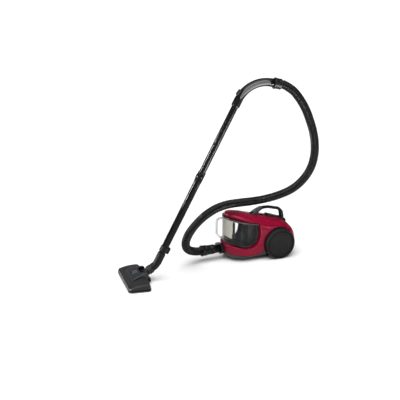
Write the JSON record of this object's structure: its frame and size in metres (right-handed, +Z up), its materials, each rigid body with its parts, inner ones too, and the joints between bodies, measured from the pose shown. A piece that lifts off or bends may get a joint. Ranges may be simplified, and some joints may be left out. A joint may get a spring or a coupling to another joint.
{
  "type": "canister vacuum cleaner",
  "caption": "Bagless canister vacuum cleaner with clear dust bin, large rear wheels, carry handle, ribbed hose, telescopic wand with bent handle and a wide floor head.",
  "frame": {"origin": "middle of the footprint of canister and floor head, on the floor", "axes": "+Z up, the canister's nose and the floor head towards -X, the near side of the picture towards -Y"},
  "size_m": [1.0352, 0.3874, 0.9635],
  "materials": {
    "red_shell": "high gloss crimson",
    "grey_hull": "fine satin texture",
    "black_gloss": "glossy",
    "black_satin": "satin",
    "mid_grey": "satin",
    "pedal_plastic": "satin",
    "blue_black": "semi gloss",
    "hose_plastic": "ribbed, semi gloss",
    "tyre_rubber": "matt rubber",
    "clear_bin": "clear tinted plastic",
    "cream_panel": "matt",
    "cone_plastic": "satin",
    "filter_foam": "pleated paper",
    "motor_steel": "brushed",
    "fan_alloy": "machined",
    "steel_pin": "ground",
    "board_green": "solder mask",
    "tube_gloss": "glossy paint",
    "tube_matt": "matt",
    "brush_bristle": "bristles",
    "sole_metal": "pressed plate"
  },
  "bodies": {
    "canister": {"chassis": "grey_hull", "lower_shell": "red_shell", "top_shell": "red_shell", "wheel_arches": "black_satin", "carry_handle": "black_satin", "handle_base": "black_gloss", "exhaust_grille": "black_satin", "exhaust_filter": "filter_foam", "motor_housing": "mid_grey", "motor": "motor_steel", "premotor_filter": "filter_foam", "reel_spindle": "black_satin", "circuit_board": "board_green", "cord_outlet": "black_satin", "inlet_socket": "black_satin", "inlet_duct": "black_satin", "hose_connector": "black_gloss", "hose": "hose_plastic", "axles": "steel_pin", "grip_tube": "black_satin", "grip_inlays": "mid_grey", "upper_tube": "tube_gloss", "lower_tube": "tube_matt", "park_clip": "black_satin", "elbow": "black_satin"},
    "left_rear_wheel": {"left_wheel": "black_satin", "left_tyre": "tyre_rubber", "left_cap": "grey_hull"},
    "right_rear_wheel": {"right_wheel": "black_satin", "right_tyre": "tyre_rubber", "right_cap": "grey_hull"},
    "caster": {"caster_fork": "black_satin", "caster_pin": "steel_pin"},
    "caster_roller": {"caster_wheel": "tyre_rubber"},
    "dust_bin": {"bin_container": "clear_bin", "bin_grip": "clear_bin", "bin_lid": "black_satin", "cyclone_cone": "cone_plastic", "inner_panel": "cream_panel"},
    "bin_button": {"release_button": "mid_grey"},
    "power_switch": {"power_pedal": "pedal_plastic"},
    "rewind_switch": {"rewind_pedal": "pedal_plastic"},
    "hose_button": {"connector_button": "mid_grey"},
    "hose_swivel": {"swivel_collar": "black_satin"},
    "handle_swivel": {"grip_collar": "blue_black"},
    "suction_valve": {"suction_slider": "mid_grey"},
    "fan": {"impeller": "fan_alloy"},
    "reel": {"cord_reel": "mid_grey"},
    "neck_joint": {"neck": "black_satin", "neck_collar": "black_satin"},
    "floor_head": {"head_base": "black_satin", "head_cover": "grey_hull", "head_housing": "mid_grey", "bumper_strip": "mid_grey", "sole_plate": "sole_metal", "glide_pads": "black_satin", "hinge_pin": "steel_pin"},
    "floor_head_wheels": {"head_wheels": "tyre_rubber"},
    "brush_rocker": {"brush_pedal": "pedal_plastic"},
    "brushes": {"brush_strips": "brush_bristle"}
  },
  "joints": [
    {"name": "left_wheel_spin", "type": "hinge", "parent": "canister", "child": "left_rear_wheel", "pos_m": [0.36974, -0.04468, 0.078], "axis": [0, 1, 0], "continuous": true},
    {"name": "right_wheel_spin", "type": "hinge", "parent": "canister", "child": "right_rear_wheel", "pos_m": [0.36974, 0.18132, 0.078], "axis": [0, 1, 0], "continuous": true},
    {"name": "caster_swivel", "type": "hinge", "parent": "canister", "child": "caster", "pos_m": [0.19774, 0.06832, 0.03], "axis": [0, 0, 1], "continuous": true},
    {"name": "caster_roll", "type": "hinge", "parent": "caster", "child": "caster_roller", "pos_m": [0.21074, 0.06832, 0.012], "axis": [0, 1, 0], "continuous": true},
    {"name": "bin_slide", "type": "slide", "parent": "canister", "child": "dust_bin", "axis": [-0.9744, 0, 0.225], "range_m": [0, 0.12]},
    {"name": "release_press", "type": "slide", "parent": "canister", "child": "bin_button", "axis": [-0.2672, 0, -0.9636], "range_m": [0, 0.003], "stiffness_N_per_m": 400},
    {"name": "power_press", "type": "slide", "parent": "canister", "child": "power_switch", "axis": [-0.5, 0, -0.866], "range_m": [0, 0.004], "stiffness_N_per_m": 600},
    {"name": "rewind_press", "type": "slide", "parent": "canister", "child": "rewind_switch", "axis": [-0.5, 0, -0.866], "range_m": [0, 0.004], "stiffness_N_per_m": 600},
    {"name": "connector_press", "type": "slide", "parent": "canister", "child": "hose_button", "axis": [0, 0, -1], "range_m": [0, 0.002], "stiffness_N_per_m": 300},
    {"name": "hose_end_swivel", "type": "hinge", "parent": "canister", "child": "hose_swivel", "pos_m": [0.00474, 0.06832, 0.054], "axis": [1, 0, 0], "continuous": true},
    {"name": "handle_collar_swivel", "type": "hinge", "parent": "canister", "child": "handle_swivel", "pos_m": [0.26066, -0.14224, 0.93927], "axis": [0.9609, -0.135, -0.2419], "continuous": true},
    {"name": "suction_slide", "type": "slide", "parent": "canister", "child": "suction_valve", "axis": [0.6232, -0.0876, 0.7771], "range_m": [-0.005, 0.005]},
    {"name": "fan_spin", "type": "hinge", "parent": "canister", "child": "fan", "pos_m": [0.31174, 0.08782, 0.09], "axis": [1, 0, 0], "continuous": true},
    {"name": "reel_spin", "type": "hinge", "parent": "canister", "child": "reel", "pos_m": [0.36174, 0.01432, 0.1], "axis": [0, 1, 0], "continuous": true},
    {"name": "neck_twist", "type": "hinge", "parent": "canister", "child": "neck_joint", "pos_m": [-0.35526, -0.05568, 0.036], "axis": [0.8011, -0.1126, 0.5878], "range_deg": [-80, 80]},
    {"name": "head_tilt", "type": "hinge", "parent": "neck_joint", "child": "floor_head", "pos_m": [-0.35526, -0.05568, 0.036], "axis": [0.1392, 0.9903, 0], "range_deg": [-21, 39]},
    {"name": "head_wheel_roll", "type": "hinge", "parent": "floor_head", "child": "floor_head_wheels", "pos_m": [-0.35526, -0.05568, 0.022], "axis": [0.1392, 0.9903, 0], "continuous": true},
    {"name": "brush_pedal_rock", "type": "hinge", "parent": "floor_head", "child": "brush_rocker", "pos_m": [-0.40082, -0.04928, 0.046], "axis": [0.1392, 0.9903, 0], "range_deg": [0, 10]},
    {"name": "brush_lift", "type": "slide", "parent": "floor_head", "child": "brushes", "axis": [0, 0, 1], "range_m": [0, 0.004]}
  ],
  "couplings": [
    {"joint": "brush_pedal_rock", "follows": "brush_lift", "rad_per_m": 43.6}
  ]
}
